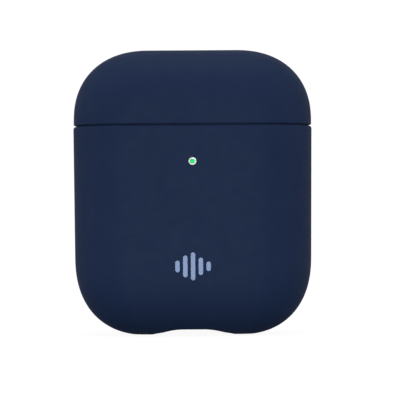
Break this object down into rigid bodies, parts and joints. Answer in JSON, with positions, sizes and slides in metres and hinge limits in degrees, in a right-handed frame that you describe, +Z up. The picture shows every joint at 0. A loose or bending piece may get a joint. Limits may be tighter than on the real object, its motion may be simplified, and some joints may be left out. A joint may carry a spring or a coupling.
{
  "type": "wireless earbuds charging case",
  "caption": "Closed charging case for wireless earbuds in a navy soft-touch cover, with hinged lid, earbud wells, charging socket, status light and rear setup button.",
  "frame": {"origin": "centre of the footprint, on the surface the case stands on", "axes": "+Z up through the lid, front face with the status light towards -Y, hinge towards +Y, +X to the right seen from the front"},
  "size_m": [0.0474, 0.0244, 0.0565],
  "materials": {
    "cover_soft_navy": "matte soft-touch coating, very fine grain",
    "case_white": "polished white moulding",
    "insert_white": "satin white moulding",
    "hinge_metal": "brushed",
    "spring_steel": "plain",
    "screw_steel": "plain",
    "magnet_nickel": "nickel plated",
    "tape_film": "adhesive film",
    "sensor_black": "moulded",
    "flex_amber": "polyimide film",
    "cell_wrap": "foil pouch with film wrap",
    "frame_black": "moulded, glass filled",
    "foam_grey": "closed-cell foam",
    "board_green": "solder mask",
    "chip_black": "epoxy",
    "shield_tin": "tin plated",
    "led_green": "lit green lens",
    "port_steel": "drawn steel",
    "port_black": "moulded",
    "seal_black": "silicone",
    "contact_gold": "gold plated",
    "button_white": "polished",
    "dome_steel": "plain",
    "coil_copper": "enamelled copper",
    "ferrite_grey": "ferrite"
  },
  "bodies": {
    "case": {"cover_body": "cover_soft_navy", "case_body_shell": "case_white", "well_insert": "insert_white", "hinge_body_leaf": "hinge_metal", "hinge_pin": "hinge_metal", "hinge_snap_spring": "spring_steel", "hinge_body_screws": "screw_steel", "body_magnets": "magnet_nickel", "hall_sensor": "sensor_black", "sensor_flex": "flex_amber", "earbud_magnets": "magnet_nickel", "battery_cell": "cell_wrap", "battery_tape": "tape_film", "battery_lead": "flex_amber", "inner_frame": "frame_black", "frame_screws": "screw_steel", "board_foam": "foam_grey", "main_board": "board_green", "board_chips": "chip_black", "board_shield": "shield_tin", "board_screws": "screw_steel", "status_led": "led_green", "led_light_pipe": "led_green", "charge_port_shell": "port_steel", "charge_port_tongue": "port_black", "port_bracket": "port_steel", "port_screws": "screw_steel", "port_gasket": "seal_black", "port_flex": "flex_amber", "contact_flex": "flex_amber", "button_dome_switch": "dome_steel", "button_flex": "flex_amber", "charging_coil": "coil_copper", "ferrite_sheet": "ferrite_grey", "coil_flex": "flex_amber"},
    "lid": {"cover_lid": "cover_soft_navy", "cover_lid_tape": "tape_film", "case_lid_shell": "case_white", "lid_liner": "insert_white", "hinge_lid_leaf": "hinge_metal", "hinge_lid_screws": "screw_steel", "lid_magnets": "magnet_nickel", "lid_sensor_magnet": "magnet_nickel"},
    "button": {"setup_button": "button_white"},
    "left_pins": {"left_contacts": "contact_gold"},
    "right_pins": {"right_contacts": "contact_gold"}
  },
  "joints": [
    {"name": "lid_hinge", "type": "hinge", "parent": "case", "child": "lid", "pos_m": [0, 0.0094, 0.0414], "axis": [-1, 0, 0], "range_deg": [0, 100]},
    {"name": "setup_button_press", "type": "slide", "parent": "case", "child": "button", "axis": [0, -1, 0], "range_m": [0, 0.0003], "stiffness_N_per_m": 12, "springref_m": -0.0002},
    {"name": "left_contact_press", "type": "slide", "parent": "case", "child": "left_pins", "axis": [0, 0, -1], "range_m": [0, 0.0004], "stiffness_N_per_m": 8, "springref_m": -0.0002},
    {"name": "right_contact_press", "type": "slide", "parent": "case", "child": "right_pins", "axis": [0, 0, -1], "range_m": [0, 0.0004], "stiffness_N_per_m": 8, "springref_m": -0.0002}
  ]
}
